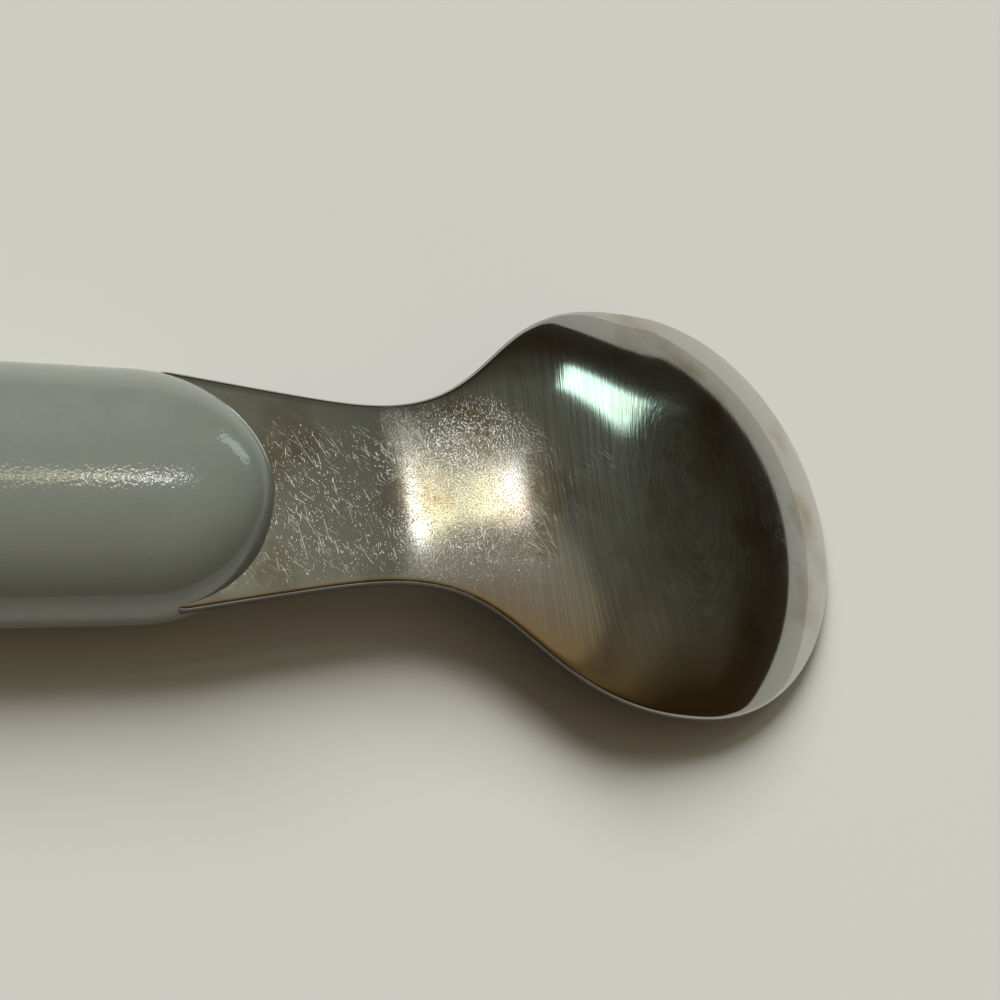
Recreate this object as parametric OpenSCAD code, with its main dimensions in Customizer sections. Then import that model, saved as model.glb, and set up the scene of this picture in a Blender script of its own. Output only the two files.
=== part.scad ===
// Toddler's spoon: a stamped steel blade with a plastic handle moulded round its tang.
// It lies face down as on a table: X runs along the spoon with the tip at +X, Z is up,
// and the origin is under the middle of its length, on the surface that it rests on.

/* [Bowl] */
// Width of the bowl across its rim, before the edge is rounded
bowl_w = 31.3; // [28:0.1:35]
// From the bowl's widest line forward to the tip
bowl_front = 15.1; // [13:0.1:18]
// Height of the bowl's back above its rim
bowl_h = 3; // [2.6:0.05:5]
// Angle by which the bowl drops from the line of the handle
bowl_drop = 10.3; // [7:0.1:13]
// Fullness of the bowl's section, where 2 is a parabola
bowl_fullness = 3.2; // [2.1:0.05:4]
// How long the bowl's back keeps its height towards the neck, where 1 is an even slope
crown_hold = 1.3; // [1:0.05:1.8]
// Squareness of the rim's front curve, where 2 is an ellipse
rim_squareness = 2.02; // [2:0.01:2.3]

/* [Neck] */
// Width of the neck at its waist
neck_w = 12.6; // [11:0.1:14.5]
// From the bowl's widest line back to the waist
neck_back = 23.3; // [21:0.1:27]
// From the waist forward to the bend where the flat tang starts
bend_ahead = 0.4; // [0:0.1:3]
// How far the tang's back face lies below the rim plane at the bend
bend_drop = 1.3; // [0:0.05:2]
// How far the full width of the bowl is carried back into the shoulder
shoulder_pull = 15; // [11:0.1:17]
// How far the waist's straight run is carried forward into the shoulder
waist_pull = 9.9; // [7:0.1:13]
// Length over which the waist turns into the flare behind it
waist_soft = 3; // [1:0.5:5]

/* [Steel sheet] */
// Thickness of the steel sheet
sheet_t = 1.2; // [0.9:0.05:1.5]
// Radius of the sheet's polished edges
edge_r = 0.35; // [0.2:0.05:0.4]

/* [Tang] */
// Steel that shows between the waist and the front of the handle
tang_shown = 7.7; // [4:0.1:14]
// Length of the tang inside the handle
tang_hidden = 46; // [36:1:60]
// Behind the handle's front, where the edges of the steel go into the plastic
flare_bury = 6.5; // [4:0.1:9]
// Length over which the hidden tang narrows to its stem
tuck_l = 4; // [3:0.5:9]
// Width of the hidden tang's stem
stem_w = 8; // [6:0.5:10]
// Width of the foot that locks the tang in the plastic
foot_w = 12; // [10.5:0.5:14]
// Length of the foot, which takes as much again to widen
foot_l = 5; // [3:0.5:7]

/* [Handle] */
// Length of the handle
handle_l = 93; // [75:1:105]
// Width that the handle starts from at its front
handle_front_w = 16.55; // [16:0.05:18]
// Width of the handle at its widest
handle_w = 17.5; // [16.5:0.1:21]
// From the front of the handle to its widest place
handle_swell_at = 60; // [45:1:70]
// Thickness of the handle
handle_t = 9.35; // [8:0.05:11]
// How far the steel lies behind the middle of the handle's thickness
steel_offset = 1; // [0:0.05:1.2]
// Length of the rounded front end
front_dome = 8.9; // [8:0.1:14]
// Length of the rounded butt end
butt_dome = 10; // [7:0.5:14]
// Squareness of the handle's section, where 2 is an ellipse
grip_squareness = 2.26; // [2:0.02:3]
// Squareness of the rounded ends in plan
plan_squareness = 2.12; // [2:0.02:2.8]
// Squareness of the rounded ends in side view
side_squareness = 4; // [2.4:0.1:6]

/* [Smoothness] */
// Stations along each side from the waist to the bowl's widest line
neck_steps = 20; // [12:1:24]
// Ribs that fan round the front of the bowl
fan_steps = 32; // [20:2:40]
// Points from the middle line to the edge
rib_steps = 11; // [8:1:14]
// Points round the handle's section
grip_sides = 44; // [32:4:52]
// Stations in each rounded end of the handle
dome_steps = 11; // [8:1:14]

/* [Hidden] */

steel_colour = "#b9b9b4";
plastic_colour = "#7d8079";

arc_steps = 3;          // facets of each rounded corner of the sheet's edge
flare_steps = 9;        // stations along the tang's flare
tuck_steps = 6;         // stations where the hidden tang narrows
foot_steps = 4;         // stations where the foot widens
grip_steps = 13;        // stations along the middle of the handle
nudge = 0.001;          // step for taking a slope

bowl_r = bowl_w / 2;
waist_r = neck_w / 2;
bend_back = neck_back - bend_ahead;
tang_slope = tan(bowl_drop);

function mix(a, b, t) = a + (b - a) * t;
function ease(t) = t * t * (3 - 2 * t);
function unit(v) = v / norm(v);
function spow(v, e) = sign(v) * pow(abs(v), e);
function curve(a, b, c, d, t) =
    a * pow(1 - t, 3) + 3 * b * t * pow(1 - t, 2) + 3 * c * t * t * (1 - t) + d * t * t * t;
// Height of a rounded end, from 1 at its foot (t = 0) to 0 at its tip (t = 1).
function dome(t, squareness) = pow(max(0, 1 - pow(max(0, t), squareness)), 1 / squareness);

// The bowl and neck are drawn level, with the rim at height 0 and the widest line at X 0,
// and are then tipped by bowl_drop, so that the tang behind them lies flat.
function tipped(p) = [
    p.x * cos(bowl_drop) + p.z * sin(bowl_drop),
    p.y,
    p.z * cos(bowl_drop) - p.x * sin(bowl_drop)
];

// Back of the bowl in front of its widest line, r from the crown (0) to the rim (1).
function front_point(turn, r) = [
    r * bowl_front * spow(cos(turn), 2 / rim_squareness),
    r * bowl_r * spow(sin(turn), 2 / rim_squareness),
    bowl_h * (1 - pow(r, bowl_fullness))
];
function front_normal(turn, r) =
    let (
        p = front_point(turn, r),
        steep = bowl_h * bowl_fullness * pow(r, bowl_fullness - rim_squareness)
    )
    unit([
        steep * spow(p.x / bowl_front, rim_squareness - 1) / bowl_front,
        steep * spow(p.y / bowl_r, rim_squareness - 1) / bowl_r,
        1
    ]);

// Back of the shoulder and neck, s from the widest line (0) to the waist (1), and u across
// from edge to edge. Crown and rim both run smoothly into the tang's plane at the bend.
function tang_plane(x) = tang_slope * (x + bend_back) - bend_drop;
function neck_point(s, u) =
    let (
        x = -curve(0, shoulder_pull, neck_back - waist_pull, neck_back, s),
        half = curve(bowl_r, bowl_r, waist_r, waist_r, s),
        back = min(1, -x / bend_back),
        rim = tang_plane(x) * ease(back),
        crown = mix(bowl_h, tang_plane(x), ease(pow(max(0, back), crown_hold)))
    )
    [x, u * half, mix(crown, rim, pow(abs(u), bowl_fullness))];
function neck_normal(s, u) =
    let (
        along = neck_point(max(0, s - nudge), u) - neck_point(min(1, s + nudge), u),
        across = neck_point(s, u + nudge) - neck_point(s, u - nudge)
    )
    unit(cross(along, across));

// The tang lies flat behind the waist, with the handle round it.
waist = tipped([-neck_back, 0, tang_plane(-neck_back)]);
handle_front = waist.x - tang_shown;
handle_back = handle_front - handle_l;
handle_axis = waist.z - sheet_t / 2 - steel_offset;

// Half-width and half-thickness of the handle at a distance d behind its front.
function ends(d, squareness) =
    dome(1 - d / front_dome, squareness) * dome(1 - (handle_l - d) / butt_dome, squareness);
function grip_half(d) =
    mix(handle_front_w, handle_w, sin(90 * d / handle_swell_at)) / 2 * ends(d, plan_squareness);
function grip_deep(d) = handle_t / 2 * ends(d, side_squareness);

// Half-width of the tang at a distance q behind the waist. It flares to the handle's own
// width where its edges go into the plastic, narrows to a stem, and ends in a foot.
flare_end = tang_shown + flare_bury;
flare_half = grip_half(flare_bury);
tang_end = tang_shown + tang_hidden;
foot_start = tang_end - 2 * foot_l;
function flared(q) = sqrt(q * q + waist_soft * waist_soft) - waist_soft;
function tang_half(q) =
    q < flare_end ? mix(waist_r, flare_half, flared(q) / flared(flare_end)) :
    q < foot_start ? mix(flare_half, stem_w / 2, ease(min(1, (q - flare_end) / tuck_l))) :
    mix(stem_w, foot_w, ease(min(1, (q - foot_start) / foot_l))) / 2;
function tang_point(q, u) = [waist.x - q, u * tang_half(q), waist.z];

// One rib of the sheet, from the middle line of its back, round its edge, to the middle
// line of its front. at(u) is the back surface and up(u) its normal, u from 0 to 1.
function corner_arc(core, out, up, start) = [
    for (i = [0:arc_steps])
        let (a = start + 90 * i / arc_steps)
        core + edge_r * (sin(a) * out + cos(a) * up)
];
function rib(at, up, half) =
    let (
        out = unit(at(1) - at(1 - nudge)),
        last = 1 - edge_r * norm([out.x, out.y]) / half,
        us = [for (j = [0:rib_steps - 1]) last * j / rib_steps]
    )
    concat(
        [for (u = us) at(u)],
        corner_arc(at(last) - edge_r * up(last), out, up(last), 0),
        corner_arc(at(last) - (sheet_t - edge_r) * up(last), out, up(last), 90),
        [for (j = [rib_steps - 1:-1:0]) at(us[j]) - sheet_t * up(us[j])]
    );
function front_rib(turn) = rib(
    function (r) tipped(front_point(turn, r)),
    function (r) tipped(front_normal(turn, max(r, nudge))),
    norm(front_point(turn, 1))
);
function neck_rib(s, side) = rib(
    function (u) tipped(neck_point(s, side * u)),
    function (u) tipped(neck_normal(s, side * u)),
    neck_point(s, 1).y
);
function tang_rib(q, side) = rib(
    function (u) tang_point(q, side * u),
    function (u) [0, 0, 1],
    tang_half(q)
);

// Ribs from the end of the tang along one side, round the front of the bowl, and back.
tang_qs = concat(
    [tang_end],
    [for (i = [foot_steps:-1:0]) foot_start + foot_l * i / foot_steps],
    [for (i = [tuck_steps:-1:1]) flare_end + tuck_l * i / tuck_steps],
    [for (i = [flare_steps:-1:1]) flare_end * i / flare_steps]
);
neck_ss = [for (i = [neck_steps:-1:1]) i / neck_steps];
tang_count = len(tang_qs);
side_count = tang_count + neck_steps;
function side_rib(i, side) = i < tang_count
    ? tang_rib(tang_qs[i], side)
    : neck_rib(neck_ss[i - tang_count], side);
ribs = concat(
    [for (i = [0:side_count - 1]) side_rib(i, -1)],
    [for (i = [0:fan_steps]) front_rib(-90 + 180 * i / fan_steps)],
    [for (i = [side_count - 1:-1:0]) side_rib(i, 1)]
);
rib_len = len(ribs[0]);
rib_count = len(ribs);

// Both pieces are moved so that the lower of handle and tip touches the surface, and the
// middle of the whole length is over the origin.
tip_rib = front_rib(0);
lowest = min(handle_axis - handle_t / 2, min([for (p = tip_rib) p.z]));
middle = (handle_back + max([for (p = tip_rib) p.x])) / 2;
function placed(p) = p - [middle, 0, lowest];

// The two ribs of a station share their ends on the middle line, as all ribs of the fan do.
function station(r) = min(r, rib_count - 1 - r, side_count);
function point_at(r, j) = (j == 0 || j == rib_len - 1 ? station(r) : r) * rib_len + j;
function strip(r) = [
    for (j = [0:rib_len - 2])
        let (
            a = point_at(r, j),
            b = point_at(r + 1, j),
            c = point_at(r + 1, j + 1),
            d = point_at(r, j + 1)
        )
        each [if (a != b) [a, b, c], if (c != d) [a, c, d]]
];
// The cut across a rib joins the points of its back to those of its front.
function cut(r) = [
    for (j = [0:rib_len / 2 - 2])
        let (k = rib_len - 1 - j)
        each [
            [point_at(r, j), point_at(r, j + 1), point_at(r, k - 1)],
            [point_at(r, j), point_at(r, k - 1), point_at(r, k)]
        ]
];
function flipped(faces) = [for (f = faces) [f[2], f[1], f[0]]];

// The sheet from the end of the tang to a station, or all of it, round the tip.
module sheet(last) {
    far = rib_count - 1;
    whole = last == side_count;
    strips = whole
        ? [for (r = [0:far - 1]) r]
        : concat([for (r = [0:last - 1]) r], [for (r = [far - last:far - 1]) r]);
    polyhedron(
        [for (r = ribs) each [for (p = r) placed(p)]],
        concat(
            [for (r = strips) each strip(r)],
            cut(0),
            flipped(cut(far)),
            whole ? [] : flipped(cut(last)),
            whole ? [] : cut(far - last)
        )
    );
}

module spoon_blade() color(steel_colour) sheet(side_count);

// The handle is an oval bar with rounded ends, one slice after another, less the tang.
grip_ds = concat(
    [for (i = [0:dome_steps]) front_dome * (1 - cos(90 * i / dome_steps))],
    [for (i = [1:grip_steps]) mix(front_dome, handle_l - butt_dome, i / (grip_steps + 1))],
    [for (i = [dome_steps:-1:0]) handle_l - butt_dome * (1 - cos(90 * i / dome_steps))]
);
function grip_ring(d) = [
    for (i = [1:grip_sides])
        let (a = 360 * i / grip_sides)
        placed([
            handle_front - d,
            grip_half(d) * spow(cos(a), 2 / grip_squareness),
            handle_axis + grip_deep(d) * spow(sin(a), 2 / grip_squareness)
        ])
];
module grip_slice(d0, d1) {
    points = concat(grip_ring(d0), grip_ring(d1));
    hull() polyhedron(points, [[for (i = [0:len(points) - 1]) i]]);
}

module handle() color(plastic_colour)
    difference() {
        for (k = [0:len(grip_ds) - 2]) grip_slice(grip_ds[k], grip_ds[k + 1]);
        sheet(tang_count);
    }

spoon_blade();
handle();
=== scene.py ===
# Toddler's spoon lying face down: a pressed steel blade and the plastic handle moulded round its tang.
import math

import bpy
from mathutils import Matrix, Quaternion, Vector


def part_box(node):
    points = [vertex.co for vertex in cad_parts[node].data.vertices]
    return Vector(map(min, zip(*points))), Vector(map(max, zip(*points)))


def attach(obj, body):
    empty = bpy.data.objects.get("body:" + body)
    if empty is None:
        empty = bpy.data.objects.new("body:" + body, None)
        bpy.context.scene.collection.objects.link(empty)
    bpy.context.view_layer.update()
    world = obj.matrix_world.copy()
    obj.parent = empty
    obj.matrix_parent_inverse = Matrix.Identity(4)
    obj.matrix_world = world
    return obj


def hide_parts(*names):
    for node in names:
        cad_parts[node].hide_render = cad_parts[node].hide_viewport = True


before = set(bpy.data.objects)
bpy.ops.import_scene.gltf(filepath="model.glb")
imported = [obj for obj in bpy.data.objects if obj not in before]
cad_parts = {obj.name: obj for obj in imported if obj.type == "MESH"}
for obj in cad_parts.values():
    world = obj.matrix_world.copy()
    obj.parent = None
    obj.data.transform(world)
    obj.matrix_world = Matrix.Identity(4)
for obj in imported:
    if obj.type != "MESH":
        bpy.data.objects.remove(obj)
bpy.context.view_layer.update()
mm = 0.001
micron = 0.000001
handleLow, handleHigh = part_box("handle")
print("frame loaded")


# Small helpers for shapes

def mix(a, b, t):
    return a + (b - a) * t


def ease(t):
    t = min(1, max(0, t))
    return t * t * (3 - 2 * t)


def signedPower(value, power):
    return math.copysign(abs(value) ** power, value)


def curve(a, b, c, d, t):
    return a * (1 - t) ** 3 + 3 * b * t * (1 - t) ** 2 + 3 * c * t * t * (1 - t) + d * t ** 3


def roundedEnd(t, squareness):  # 1 at the foot of the rounding, 0 at its tip
    return max(0, 1 - max(0, t) ** squareness) ** (1 / squareness)


def applyModifiers(piece):
    bpy.context.view_layer.objects.active = piece
    for modifier in list(piece.modifiers):
        bpy.ops.object.modifier_apply(modifier=modifier.name)


# Handle: an oval bar with rounded ends, lofted ring by ring from its front

handle = {
    "frontWidth": 16.55,      # mm, where the front rounding starts
    "swellAt": 60,            # mm behind the front, at the widest place
    "frontDome": 8.9,         # mm
    "buttDome": 10,           # mm
    "sectionSquareness": 2.26,
    "planSquareness": 2.12,
    "sideSquareness": 4,
    "ringPoints": 80,
    "domeRings": 22,
    "barRings": 16,
}
handle["length"] = (handleHigh.x - handleLow.x) / mm
handle["width"] = (handleHigh.y - handleLow.y) / mm
handle["thickness"] = (handleHigh.z - handleLow.z) / mm
handle["axisZ"] = (handleHigh.z + handleLow.z) / 2 / mm


def handleEnds(d, squareness):
    front = roundedEnd(1 - d / handle["frontDome"], squareness)
    return front * roundedEnd(1 - (handle["length"] - d) / handle["buttDome"], squareness)


def handleHalfWidth(d):
    swell = math.sin(math.pi / 2 * d / handle["swellAt"])
    return mix(handle["frontWidth"], handle["width"], swell) / 2 * handleEnds(d, handle["planSquareness"])


def handleHalfDepth(d):
    return handle["thickness"] / 2 * handleEnds(d, handle["sideSquareness"])


def handleStations():
    turns = [math.pi / 2 * i / handle["domeRings"] for i in range(1, handle["domeRings"] + 1)]
    front = [handle["frontDome"] * (1 - math.cos(turn)) for turn in turns]
    butt = [handle["length"] - handle["buttDome"] * (1 - math.cos(turn)) for turn in reversed(turns)]
    steps = handle["barRings"] + 1
    bar = [mix(front[-1], butt[0], i / steps) for i in range(1, steps)]
    return front + bar + butt


def makeHandle():
    stations = handleStations()
    axisZ = handle["axisZ"] * mm
    start = stations[0]
    bpy.ops.mesh.primitive_circle_add(
        vertices=handle["ringPoints"], radius=1, fill_type="NGON",
        location=(handleHigh.x - start * mm, 0, axisZ), rotation=(0, math.pi / 2, 0),
    )
    bar = bpy.context.object
    bar.name = "moldedHandle"
    bpy.ops.object.transform_apply(location=True, rotation=True, scale=True)
    for vert in bar.data.vertices:  # the round ring becomes the handle's squared oval
        turn = math.atan2(vert.co.z - axisZ, vert.co.y)
        power = 2 / handle["sectionSquareness"]
        vert.co.y = handleHalfWidth(start) * mm * signedPower(math.cos(turn), power)
        vert.co.z = axisZ + handleHalfDepth(start) * mm * signedPower(math.sin(turn), power)
    bpy.ops.object.mode_set(mode="EDIT")
    bpy.ops.mesh.select_mode(type="FACE")
    bpy.ops.mesh.select_all(action="SELECT")
    for before, here in zip(stations, stations[1:]):
        bpy.ops.mesh.extrude_region_move(
            TRANSFORM_OT_translate={"value": ((before - here) * mm, 0, 0)}
        )
        bpy.ops.transform.resize(
            value=(
                1,
                handleHalfWidth(here) / handleHalfWidth(before),
                handleHalfDepth(here) / handleHalfDepth(before),
            ),
            center_override=(handleHigh.x - here * mm, 0, axisZ),
        )
    bpy.ops.mesh.select_all(action="SELECT")
    bpy.ops.mesh.normals_make_consistent(inside=False)
    bpy.ops.mesh.select_all(action="DESELECT")
    bpy.ops.object.mode_set(mode="OBJECT")
    for face in bar.data.polygons:
        face.select = len(face.vertices) == handle["ringPoints"]
    bpy.ops.object.mode_set(mode="EDIT")
    bpy.ops.mesh.poke()  # both end caps get a middle point
    bpy.ops.object.mode_set(mode="OBJECT")
    smooth = bar.modifiers.new("smooth", "SUBSURF")
    smooth.levels = 1
    smooth.render_levels = 1
    applyModifiers(bar)
    bpy.ops.object.shade_smooth()
    return bar


# Blade: a flat blank, pressed to the bowl, neck and tang, then given its thickness

blade = {
    "bowlWidth": 31.3,        # mm across the rim
    "bowlFront": 15.1,        # mm from the widest line to the tip
    "bowlHeight": 3.0,        # mm
    "bowlDrop": 10.3,         # degrees below the line of the handle
    "bowlFullness": 3.2,
    "crownHold": 1.3,         # how long the back keeps its height towards the neck
    "rimSquareness": 2.02,
    "neckWidth": 12.6,        # mm at the waist
    "neckBack": 23.3,         # mm from the widest line to the waist
    "bendAhead": 0.4,         # mm
    "bendDrop": 1.3,          # mm
    "shoulderPull": 15.0,     # mm
    "waistPull": 9.9,         # mm
    "waistSoft": 3.0,         # mm
    "sheet": 1.2,             # mm of steel
    "edgeRadius": 0.35,       # mm
    "edgeSegments": 3,
    "sharpFrom": 50,          # degrees, the corners that are rounded
    "tangShown": 7.7,         # mm of flat steel before the handle
    "tangHidden": 46.0,       # mm inside the handle
    "flareBury": 6.5,         # mm behind the handle's front
    "tuckLength": 4.0,        # mm
    "stemWidth": 8.0,         # mm
    "footWidth": 12.0,        # mm
    "footLength": 5.0,        # mm
    "steelOffset": 1.0,       # mm above the middle of the handle
    "margin": 0.7,            # mm, the strip of faces along the rim
    "across": 48,
    "neckRows": 56,
    "frontRows": 24,
    "flareRows": 22,
    "tuckRows": 8,
    "stemRows": 6,
    "footRows": 6,
}
bowlRadius = blade["bowlWidth"] / 2
waistRadius = blade["neckWidth"] / 2
bendBack = blade["neckBack"] - blade["bendAhead"]
drop = math.radians(blade["bowlDrop"])
flareEnd = blade["tangShown"] + blade["flareBury"]
flareHalf = handleHalfWidth(blade["flareBury"])
tangEnd = blade["tangShown"] + blade["tangHidden"]
footStart = tangEnd - 2 * blade["footLength"]


def tipped(x, y, z):
    return Vector((x * math.cos(drop) + z * math.sin(drop), y, z * math.cos(drop) - x * math.sin(drop)))


def tangPlane(x):
    return math.tan(drop) * (x + bendBack) - blade["bendDrop"]


waist = tipped(-blade["neckBack"], 0, tangPlane(-blade["neckBack"]))
seat = Vector((
    handleHigh.x / mm + blade["tangShown"],
    0,
    handle["axisZ"] + blade["steelOffset"] + blade["sheet"] / 2,
))


def frontPoint(turn, r):
    power = 2 / blade["rimSquareness"]
    return tipped(
        r * blade["bowlFront"] * signedPower(math.cos(turn), power),
        r * bowlRadius * signedPower(math.sin(turn), power),
        blade["bowlHeight"] * (1 - r ** blade["bowlFullness"]),
    ) - waist + seat


def neckHalf(s):
    return curve(bowlRadius, bowlRadius, waistRadius, waistRadius, s)


def neckPoint(s, u):
    x = -curve(0, blade["shoulderPull"], blade["neckBack"] - blade["waistPull"], blade["neckBack"], s)
    back = max(0, -x / bendBack)
    rim = tangPlane(x) * ease(back)
    crown = mix(blade["bowlHeight"], tangPlane(x), ease(back ** blade["crownHold"]))
    z = mix(crown, rim, abs(u) ** blade["bowlFullness"])
    return tipped(x, u * neckHalf(s), z) - waist + seat


def flared(q):
    return math.hypot(q, blade["waistSoft"]) - blade["waistSoft"]


def tangHalf(q):
    if q < flareEnd:
        return mix(waistRadius, flareHalf, flared(q) / flared(flareEnd))
    if q < footStart:
        return mix(flareHalf, blade["stemWidth"] / 2, ease((q - flareEnd) / blade["tuckLength"]))
    return mix(blade["stemWidth"], blade["footWidth"], ease((q - footStart) / blade["footLength"])) / 2


def tangPoint(q, u):
    return seat + Vector((-q, u * tangHalf(q), 0))


def run(start, end, count):
    return [mix(start, end, i / count) for i in range(count)]


def bladeRows():  # rows of the blank from the end of the tang to the tip
    tuckEnd = flareEnd + blade["tuckLength"]
    footWide = footStart + blade["footLength"]
    tang = (
        run(tangEnd - blade["margin"], footWide, 2)
        + run(footWide, footStart, blade["footRows"])
        + run(footStart, tuckEnd, blade["stemRows"])
        + run(tuckEnd, flareEnd, blade["tuckRows"])
        + run(flareEnd, 0, blade["flareRows"])
    )
    rows = [("tang", q) for q in tang]
    rows += [("neck", s) for s in run(1, 0, blade["neckRows"])]
    return rows + [("front", i / blade["frontRows"]) for i in range(blade["frontRows"] + 1)]


def pressed(kind, along, across, onRim):
    # along is the row's own measure, and across runs from -1 to 1
    # rim points lie on the outline, and the rest a margin inside it
    inset = 0 if onRim else blade["margin"]
    if kind == "tang":
        return tangPoint(along, across * (1 - inset / tangHalf(along)))
    if kind == "neck":
        return neckPoint(along, across * (1 - inset / neckHalf(along)))
    x = along * math.sqrt(1 - across * across / 2)
    y = across * math.sqrt(1 - along * along / 2)
    turn = math.atan2(y, x)
    reach = math.hypot(blade["bowlFront"] * math.cos(turn), bowlRadius * math.sin(turn))
    return frontPoint(turn, math.hypot(x, y) * (1 - inset / reach))


def makeBlade():
    rows = bladeRows()
    border = 1.02  # the blank's outer ring of faces, on the flat grid
    bpy.ops.mesh.primitive_grid_add(
        x_subdivisions=len(rows) - 1, y_subdivisions=blade["across"], size=2
    )
    sheet = bpy.context.object
    sheet.name = "steelBlade"
    bpy.ops.object.mode_set(mode="EDIT")
    bpy.ops.mesh.select_mode(type="EDGE")
    bpy.ops.mesh.select_all(action="SELECT")
    bpy.ops.mesh.region_to_loop()
    bpy.ops.mesh.extrude_edges_move()
    bpy.ops.transform.resize(value=(border, border, 1), center_override=(0, 0, 0))
    bpy.ops.object.mode_set(mode="OBJECT")
    for vert in sheet.data.vertices:
        onRim = max(abs(vert.co.x), abs(vert.co.y)) > (1 + border) / 2
        flat = vert.co / border if onRim else vert.co
        row = round((flat.x + 1) / 2 * (len(rows) - 1))
        kind, along = rows[row]
        if onRim and row == 0:
            along = tangEnd
        vert.co = pressed(kind, along, flat.y, onRim) * mm
    thick = sheet.modifiers.new("thickness", "SOLIDIFY")
    thick.thickness = blade["sheet"] * mm
    thick.offset = -1
    thick.use_even_offset = True
    thick.use_quality_normals = True
    applyModifiers(sheet)
    bpy.ops.object.mode_set(mode="EDIT")
    bpy.ops.mesh.select_all(action="DESELECT")
    bpy.ops.mesh.edges_select_sharp(sharpness=math.radians(blade["sharpFrom"]))
    bpy.ops.mesh.bevel(
        offset=blade["edgeRadius"] * mm, segments=blade["edgeSegments"], profile=0.5,
        affect="EDGES", clamp_overlap=False,
    )
    bpy.ops.object.mode_set(mode="OBJECT")
    smooth = sheet.modifiers.new("smooth", "SUBSURF")
    smooth.levels = 1
    smooth.render_levels = 1
    applyModifiers(sheet)
    bpy.ops.object.shade_smooth()
    return sheet


# Materials

def linearColor(hexText):
    values = [int(hexText[i:i + 2], 16) / 255 for i in (1, 3, 5)]
    return tuple(v / 12.92 if v <= 0.04045 else ((v + 0.055) / 1.055) ** 2.4 for v in values) + (1,)


def feed(tree, node, inputs):
    for name, value in inputs.items():
        if isinstance(value, bpy.types.NodeSocket):
            tree.links.new(value, node.inputs[name])
        else:
            node.inputs[name].default_value = value


def addNode(tree, kind, inputs, output=0, **settings):
    added = tree.nodes.new("ShaderNode" + kind)
    for name, value in settings.items():
        setattr(added, name, value)
    feed(tree, added, inputs)
    return added.outputs[output]


def startMaterial(name):
    material = bpy.data.materials.new(name)
    material.use_nodes = True
    return material, material.node_tree, material.node_tree.nodes["Principled BSDF"]


def mottle(tree, place, size, angle=0, detail=0):
    # uneven patches of a real size in mm, turned by an angle in degrees about the vertical
    turned = addNode(tree, "Mapping", {
        "Vector": place,
        "Rotation": (0, 0, math.radians(angle)),
        "Scale": [side * mm for side in size],
    }, vector_type="TEXTURE")
    return addNode(tree, "TexNoise", {"Vector": turned, "Scale": 1, "Detail": detail})


steel = {
    "color": "#c8c6c0",
    "tangRoughness": 0.05,
    "neckRoughness": 0.14,
    "bowlRoughness": 0.1,
    "rimRoughness": 0.03,
    "rimFacing": (0.92, 0.97),       # how far up the steel faces at the rim's inner border
    # painted shade: the cut edge and the faces turned down are darkened in colour
    "edgeShadeColor": "#6d6a63",
    "edgeRoughness": 0.4,
    "edgeFacing": (0.68, 0.5),       # how far up the steel faces where the cut edge starts
    "brownPatchColor": "#967f59",          # brown patches mottled over the steel
    "brownPatchSize": 5,                   # mm
    "brownPatchShare": (0.5, 0.75),        # of the noise, where the brown starts and is full
    "brownPatchWeight": 0.7,
    "bendFade": (-0.6, 0.7),         # mm about the bend, from the tang's finish to the neck's
    "neckLength": (8.5, 12.5),       # mm ahead of the bend over which the satin grain fades
    "wearRight": 0.8,                # mm from the middle line, the middle of the satin and scratches
    "satinSide": (5, 8.3),           # mm to either side over which the satin grain fades
    "satinLeft": 0.1,                # what is left of it there
    "crownAhead": 23,                # mm from the waist to the middle of the polishing lines
    "lineOval": 2.4,                 # how much longer than wide the polishing lines run
    "lineWidth": 0.12,               # mm, drawn coarser than the wheel's grit so that it shows
    "lineSweep": 3.5,
    "lineHeight": 4,                 # microns
    "lineColor": "#000000",
    "lineShade": 0.2,                # how much of that colour the deepest lines take
    "lineShare": (0.6, 0.4),         # of the noise, where a line darkens and is darkest
    "satinSize": 0.1,                # mm, drawn coarser than the real satin so that it shows
    "satinShare": (0.54, 0.7),       # of the noise, where a grain starts and is full
    "satinHeight": 5.5,              # microns
    "satinElsewhere": 0.04,          # share of that height off the neck
    "scratches": (                   # mm long, mm wide and degrees, drawn wider so that they show
        (2.2, 0.055, -62), (1.8, 0.055, -80), (0.8, 0.06, -48), (0.6, 0.06, -93), (1.6, 0.05, -34),
    ),
    "scratchShare": (0.785, 0.815),  # of the noise, where a scratch starts and is full
    "scratchDepth": 6,               # microns
    "scratchColor": "#f0eeea",       # bare, torn metal scatters the light
    "scratchRoughness": 0.65,
    "scratchSide": (3.3, 5.5),       # mm to either side over which the scratches fade
    "scratchLeft": 0.05,             # what is left of them there
    "neckScratches": 0.3,            # how much of a scratch shows on the neck
    "bowlScratches": 0.12,           # and on the bowl
    "speck": (0.11, 0.09, 0),        # mm long, mm wide and degrees
    "speckShare": (0.75, 0.79),
    "markDepth": 20,                 # mm, so that a mark doesn't change with height
    "wornSize": 3,                   # mm across a worn patch
    "wornShare": (0.3, 0.5),         # of the noise, where the wear starts and is full
}


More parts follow.
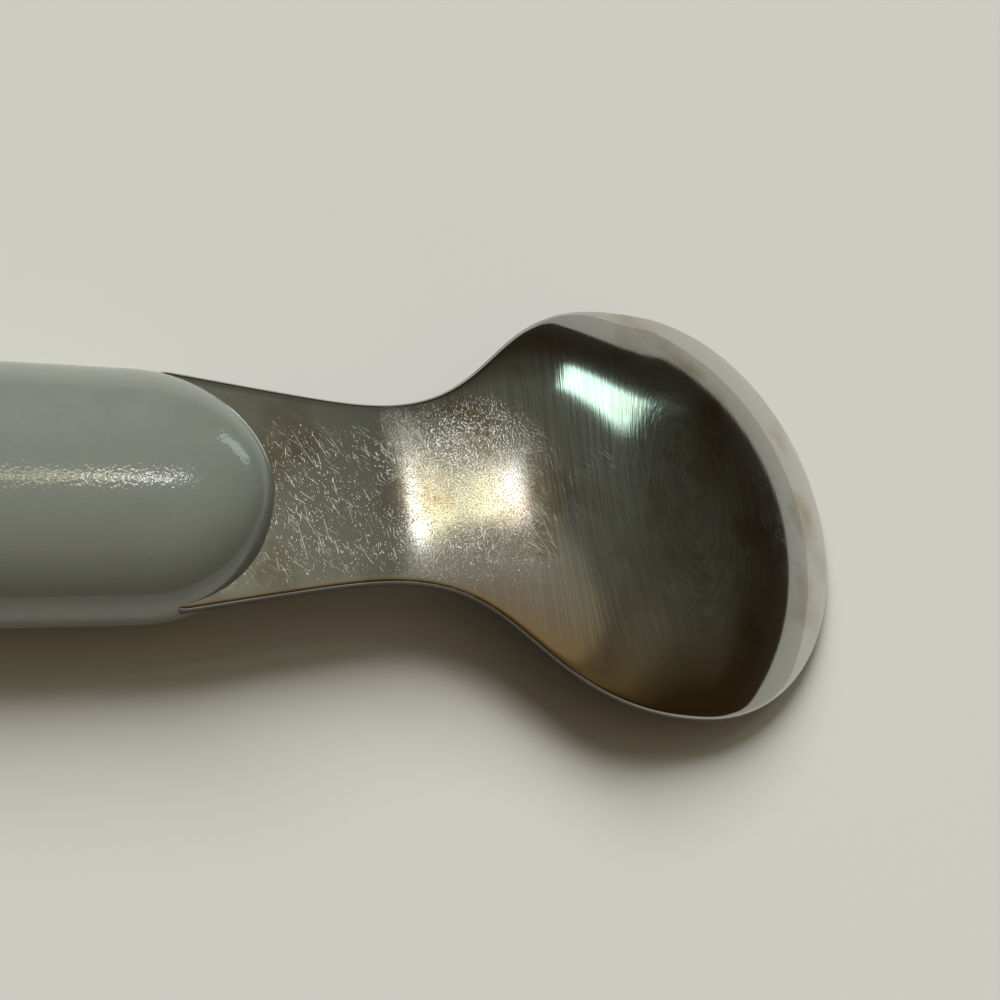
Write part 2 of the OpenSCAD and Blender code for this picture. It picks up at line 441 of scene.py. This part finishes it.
def polishedSteel():
    # Stainless steel, stamped and polished on a wheel: nearly a mirror on the tang and bowl, with fine
    # lines round the crown, a raised satin grain on the neck, and the pale scratches of long use
    material, tree, shader = startMaterial("polishedStainlessSteel")
    place = addNode(tree, "TexCoord", {}, "Object")
    along = addNode(tree, "SeparateXYZ", {"Vector": place}, "X")
    facing = addNode(tree, "SeparateXYZ", {"Vector": addNode(tree, "TexCoord", {}, "Normal")}, "Z")

    # where the tang ends, and how far the neck's finish reaches ahead and to the sides
    bendX = seat.x + blade["bendAhead"]
    offTang = addNode(tree, "MapRange", {
        "Value": along,
        "From Min": (bendX + steel["bendFade"][0]) * mm,
        "From Max": (bendX + steel["bendFade"][1]) * mm,
    }, interpolation_type="SMOOTHSTEP")
    offBowl = addNode(tree, "MapRange", {
        "Value": along,
        "From Min": (bendX + steel["neckLength"][0]) * mm,
        "From Max": (bendX + steel["neckLength"][1]) * mm,
        "To Min": 1,
        "To Max": 0,
    }, interpolation_type="SMOOTHSTEP")
    aside = addNode(tree, "Math", {
        0: along.node.outputs["Y"], 1: steel["wearRight"] * mm,
    }, operation="ADD")
    aside = addNode(tree, "Math", {0: aside}, operation="ABSOLUTE")
    offSide = addNode(tree, "MapRange", {
        "Value": aside,
        "From Min": steel["satinSide"][0] * mm,
        "From Max": steel["satinSide"][1] * mm,
        "To Min": 1,
        "To Max": steel["satinLeft"],
    })
    onNeck = addNode(tree, "Math", {0: offTang, 1: offBowl}, operation="MULTIPLY")
    onNeck = addNode(tree, "Math", {0: onNeck, 1: offSide}, operation="MULTIPLY")
    onBowl = addNode(tree, "Math", {0: offTang, 1: onNeck}, operation="SUBTRACT")
    # the cut edge and faces turned down: rougher, and darkened in colour as painted shade
    edge = addNode(tree, "MapRange", {
        "Value": facing, "From Min": steel["edgeFacing"][0], "From Max": steel["edgeFacing"][1],
    })
    offRim = addNode(tree, "MapRange", {
        "Value": facing, "From Min": steel["rimFacing"][0], "From Max": steel["rimFacing"][1],
    })

    # polishing lines, ovals round the crown
    fromCrown = addNode(tree, "Mapping", {
        "Vector": place,
        "Location": ((seat.x + steel["crownAhead"]) * mm, 0, 0),
        "Scale": (mm, steel["lineOval"] * mm, 1),
    }, vector_type="TEXTURE")
    radius = addNode(tree, "VectorMath", {0: fromCrown}, "Value", operation="LENGTH")
    ring = addNode(tree, "Math", {0: radius, 1: steel["lineWidth"]}, operation="DIVIDE")
    around = addNode(tree, "VectorMath", {0: fromCrown}, operation="NORMALIZE")
    swept = addNode(tree, "VectorMath", {0: around, "Scale": steel["lineSweep"]}, operation="SCALE")
    linePlace = addNode(tree, "VectorMath", {
        0: swept, 1: addNode(tree, "CombineXYZ", {"Z": ring}),
    }, operation="ADD")
    lines = addNode(tree, "TexNoise", {"Vector": linePlace, "Scale": 1, "Detail": 2})
    lined = addNode(tree, "Math", {0: onBowl, 1: offRim}, operation="MULTIPLY")
    lineHeight = addNode(tree, "Math", {0: lined, 1: steel["lineHeight"]}, operation="MULTIPLY")
    lineShade = addNode(tree, "MapRange", {
        "Value": lines,
        "From Min": steel["lineShare"][0],
        "From Max": steel["lineShare"][1],
        "To Max": steel["lineShade"],
    })
    lineShade = addNode(tree, "Math", {0: lineShade, 1: lined}, operation="MULTIPLY")

    # satin grain
    satin = addNode(tree, "MapRange", {
        "Value": mottle(tree, place, [steel["satinSize"]] * 3, detail=1),
        "From Min": steel["satinShare"][0],
        "From Max": steel["satinShare"][1],
    }, interpolation_type="SMOOTHSTEP")
    satinHeight = addNode(tree, "MapRange", {
        "Value": onNeck,
        "To Min": steel["satinHeight"] * steel["satinElsewhere"],
        "To Max": steel["satinHeight"],
    })

    # scratches and specks, in worn patches along the middle
    marks = [(scratch, steel["scratchShare"]) for scratch in steel["scratches"]]
    marks.append((steel["speck"], steel["speckShare"]))
    scratched = 0
    for (length, width, angle), (start, full) in marks:
        mark = mottle(tree, place, (length, width, steel["markDepth"]), angle)
        cut = addNode(tree, "MapRange", {"Value": mark, "From Min": start, "From Max": full})
        scratched = addNode(tree, "Math", {0: scratched, 1: cut}, operation="MAXIMUM")
    worn = addNode(tree, "MapRange", {
        "Value": mottle(tree, place, [steel["wornSize"]] * 2 + [steel["markDepth"]], detail=1),
        "From Min": steel["wornShare"][0],
        "From Max": steel["wornShare"][1],
    })
    kept = addNode(tree, "MapRange", {"Value": onBowl, "To Min": 1, "To Max": steel["bowlScratches"]})
    kept = addNode(tree, "MapRange", {"Value": onNeck, "To Min": kept, "To Max": steel["neckScratches"]})
    midway = addNode(tree, "MapRange", {
        "Value": aside,
        "From Min": steel["scratchSide"][0] * mm,
        "From Max": steel["scratchSide"][1] * mm,
        "To Min": 1,
        "To Max": steel["scratchLeft"],
    })
    worn = addNode(tree, "Math", {0: worn, 1: kept}, operation="MULTIPLY")
    worn = addNode(tree, "Math", {0: worn, 1: midway}, operation="MULTIPLY")
    scratched = addNode(tree, "Math", {0: scratched, 1: worn}, operation="MULTIPLY")

    height = addNode(tree, "Math", {0: lines, 1: lineHeight}, operation="MULTIPLY")
    height = addNode(tree, "Math", {0: satin, 1: satinHeight, 2: height}, operation="MULTIPLY_ADD")
    height = addNode(tree, "Math", {
        0: scratched, 1: -steel["scratchDepth"], 2: height,
    }, operation="MULTIPLY_ADD")
    normal = addNode(tree, "Bump", {"Height": height, "Distance": micron})

    roughness = steel["rimRoughness"]
    for here, there in (
        (offRim, "bowlRoughness"),
        (addNode(tree, "Math", {0: 1, 1: onBowl}, operation="SUBTRACT"), "tangRoughness"),
        (onNeck, "neckRoughness"),
        (scratched, "scratchRoughness"),
        (edge, "edgeRoughness"),
    ):
        roughness = addNode(tree, "MapRange", {
            "Value": here, "To Min": roughness, "To Max": steel[there],
        })

    # brown patches mottled over the steel
    brownPatches = addNode(tree, "MapRange", {
        "Value": mottle(tree, place, [steel["brownPatchSize"]] * 3, detail=3),
        "From Min": steel["brownPatchShare"][0],
        "From Max": steel["brownPatchShare"][1],
        "To Max": steel["brownPatchWeight"],
    })
    color = linearColor(steel["color"])
    for here, there in (
        (brownPatches, "brownPatchColor"),
        (lineShade, "lineColor"),
        (scratched, "scratchColor"),
        (edge, "edgeShadeColor"),
    ):
        color = addNode(tree, "Mix", {
            0: here, 6: color, 7: linearColor(steel[there]),
        }, 2, data_type="RGBA")
    feed(tree, shader, {"Base Color": color, "Metallic": 1, "Roughness": roughness, "Normal": normal})
    return material


plastic = {
    "colors": ("#7b8077", "#83887e"),
    "patchSize": 3,                  # mm across a patch of one colour
    "roughness": (0.38, 0.5),
    "glossSize": 1.2,                # mm across a patch of one gloss
    "glossShare": (0.3, 0.7),        # of the noise, between the two roughnesses
    "coat": 1,
    "coatRoughness": 0.08,
    "coatIor": 1.6,
    "peelSize": 0.22,                # mm
    "peelHeight": 6,                 # microns
    "grainSize": 0.13,               # mm
    "grainHeight": 2.5,              # microns
}


def moldedPlastic():
    # Polypropylene, injection moulded in a finely eroded mould: soft gloss over a slight orange peel,
    # which breaks each highlight into specks
    material, tree, shader = startMaterial("moldedPolypropylene")
    place = addNode(tree, "TexCoord", {}, "Object")
    color = addNode(tree, "Mix", {
        0: mottle(tree, place, [plastic["patchSize"]] * 3, detail=3),
        6: linearColor(plastic["colors"][0]),
        7: linearColor(plastic["colors"][1]),
    }, 2, data_type="RGBA")
    roughness = addNode(tree, "MapRange", {
        "Value": mottle(tree, place, [plastic["glossSize"]] * 3, detail=1),
        "From Min": plastic["glossShare"][0],
        "From Max": plastic["glossShare"][1],
        "To Min": plastic["roughness"][0],
        "To Max": plastic["roughness"][1],
    })
    peel = mottle(tree, place, [plastic["peelSize"]] * 3)
    grain = mottle(tree, place, [plastic["grainSize"]] * 3)
    height = addNode(tree, "Math", {0: peel, 1: plastic["peelHeight"]}, operation="MULTIPLY")
    height = addNode(tree, "Math", {
        0: grain, 1: plastic["grainHeight"], 2: height,
    }, operation="MULTIPLY_ADD")
    normal = addNode(tree, "Bump", {"Height": height, "Distance": micron})
    feed(tree, shader, {
        "Base Color": color,
        "Roughness": roughness,
        "Normal": normal,
        "Coat Weight": plastic["coat"],
        "Coat IOR": plastic["coatIor"],
        "Coat Roughness": plastic["coatRoughness"],
        "Coat Normal": normal,
    })
    return material


# Scene: floor, lights and camera

view = {
    "aim": (handleHigh.x / mm + 16.649, 0.055, 4.893),  # mm
    "azimuth": -142.126,             # degrees, where the camera stands
    "elevation": 57.781,
    "roll": 48.449,
    "distance": 129.41,              # mm
    "lens": 68.162,                  # mm
    "sensor": 36,                    # mm
    "nearest": 5,                    # mm
}


def direction(azimuth, elevation):
    a = math.radians(azimuth)
    e = math.radians(elevation)
    return Vector((math.cos(e) * math.cos(a), math.cos(e) * math.sin(a), math.sin(e)))


def makeCamera():
    back = direction(view["azimuth"], view["elevation"])
    level = Vector((0, 0, 1)).cross(back).normalized()
    turn = math.radians(view["roll"])
    right = level * math.cos(turn) + back.cross(level) * math.sin(turn)
    up = back.cross(right)
    bpy.ops.object.camera_add()
    camera = bpy.context.object
    place = Matrix((right, up, back)).transposed().to_4x4()
    place.translation = (Vector(view["aim"]) + back * view["distance"]) * mm
    camera.matrix_world = place
    camera.data.lens = view["lens"]
    camera.data.sensor_width = view["sensor"]
    camera.data.clip_start = view["nearest"] * mm
    bpy.context.scene.camera = camera


lampAim = (34, 0, 6)                 # mm, the place that all lamps face
lamps = {                            # degrees and mm
    "yellowLamp": {
        "azimuth": 64.9, "elevation": 69.6, "distance": 472, "size": (44, 20), "turn": 25.1,
        "color": "#fff6c0", "glow": 4.7,
    },
    "whiteLamp": {
        "azimuth": 55.6, "elevation": 67.4, "distance": 480, "size": (28, 16), "turn": 34.4,
        "color": "#ffffff", "glow": 13.0,
    },
    "window": {
        "azimuth": 43, "elevation": 36.4, "distance": 1000, "size": (305, 170), "turn": 14,
        "color": "#d8fff2", "glow": 2.6,
    },
    "softBox": {                     # far off, so that it lights the floor evenly
        "azimuth": 114, "elevation": 42, "distance": 20000, "size": (9330, 13780), "turn": 0,
        "color": "#ffffff", "glow": 10.4,
    },
}


def makeLamp(name, azimuth, elevation, distance, size, turn, color, glow):
    toLamp = direction(azimuth, elevation)
    place = (Vector(lampAim) + toLamp * distance) * mm
    turned = (toLamp.to_track_quat("Z", "Y") @ Quaternion((0, 0, 1), math.radians(turn))).to_euler()
    bpy.ops.object.light_add(type="AREA", location=place, rotation=turned)
    panel = bpy.context.object
    panel.name = name
    panel.data.shape = "RECTANGLE"
    panel.data.size = size[0] * mm
    panel.data.size_y = size[1] * mm
    panel.data.color = linearColor(color)[:3]
    panel.data.energy = glow * math.pi * panel.data.size * panel.data.size_y
    panel.visible_camera = False


room = {
    "heights": (                     # colours from the level of the table (0) to overhead (1)
        (0, "#b2b2aa"), (0.235, "#a6a8a1"), (0.25, "#38352e"), (0.4, "#2f2b22"), (0.5, "#332f24"),
        (0.62, "#4a4b41"), (0.71, "#606257"), (0.85, "#62635a"), (0.875, "#76776a"), (0.9, "#8c8b79"),
        (1, "#8f8e86"),
    ),
    "behind": (0.1, -0.3),           # along the spoon, where the pale low screen fades out
    "behindHeight": 0.3,             # the height whose dark colour takes its place
    "brown": "#ffd29c",              # the tint to the right of the spoon
    "brownSide": (0.2, -0.5),        # across the spoon, where the tint starts and is full
    "brownAbove": (0.23, 0.26),      # up from the screen's top
}


def makeWorld():
    world = bpy.data.worlds.new("dimRoom")
    bpy.context.scene.world = world
    world.use_nodes = True
    tree = world.node_tree
    ahead = addNode(tree, "SeparateXYZ", {"Vector": addNode(tree, "TexCoord", {}, "Generated")}, "X")
    behind = addNode(tree, "MapRange", {
        "Value": ahead,
        "From Min": room["behind"][0],
        "From Max": room["behind"][1],
        "To Max": room["behindHeight"],
    })
    upward = addNode(tree, "Math", {0: ahead.node.outputs["Z"], 1: behind}, operation="MAXIMUM")
    color = addNode(tree, "ValToRGB", {"Fac": upward})
    ramp = color.node.color_ramp
    while len(ramp.elements) < len(room["heights"]):
        ramp.elements.new(0.5)
    for element, (height, hexText) in zip(ramp.elements, room["heights"]):
        element.position = height
        element.color = linearColor(hexText)
    right = addNode(tree, "MapRange", {
        "Value": ahead.node.outputs["Y"],
        "From Min": room["brownSide"][0],
        "From Max": room["brownSide"][1],
    })
    above = addNode(tree, "MapRange", {
        "Value": upward, "From Min": room["brownAbove"][0], "From Max": room["brownAbove"][1],
    })
    tinted = addNode(tree, "Math", {0: right, 1: above}, operation="MULTIPLY")
    color = addNode(tree, "Mix", {
        0: tinted, 6: color, 7: linearColor(room["brown"]),
    }, 2, data_type="RGBA", blend_type="MULTIPLY")
    feed(tree, tree.nodes["Background"], {"Color": color})


table = {
    "size": 8000,                    # mm
    "color": "#e2e1dc",
    "roughness": 0.9,
    "shine": 0,
}


def makeFloor():
    bpy.ops.mesh.primitive_plane_add(size=table["size"] * mm)
    floor = bpy.context.object
    floor.name = "paleFloor"
    # Matt paint on board: one even, dull tone that takes a soft shadow
    material, tree, shader = startMaterial("mattPaintedBoard")
    feed(tree, shader, {
        "Base Color": linearColor(table["color"]),
        "Roughness": table["roughness"],
        "Specular IOR Level": table["shine"],
    })
    floor.data.materials.append(material)


bpy.ops.object.select_all(action="DESELECT")
handlePiece = makeHandle()
handlePiece.data.materials.append(moldedPlastic())
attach(handlePiece, "root")
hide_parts("handle")
print("handle lofted")

bpy.ops.object.select_all(action="DESELECT")
bladePiece = makeBlade()
bladePiece.data.materials.append(polishedSteel())
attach(bladePiece, "root")
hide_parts("spoon_blade")
print("blade pressed")

bpy.ops.object.select_all(action="DESELECT")
makeFloor()
makeWorld()
for lampName, lamp in lamps.items():
    makeLamp(lampName, **lamp)
makeCamera()
bpy.context.scene.view_settings.view_transform = "Standard"
print("floor, lamps and camera placed")
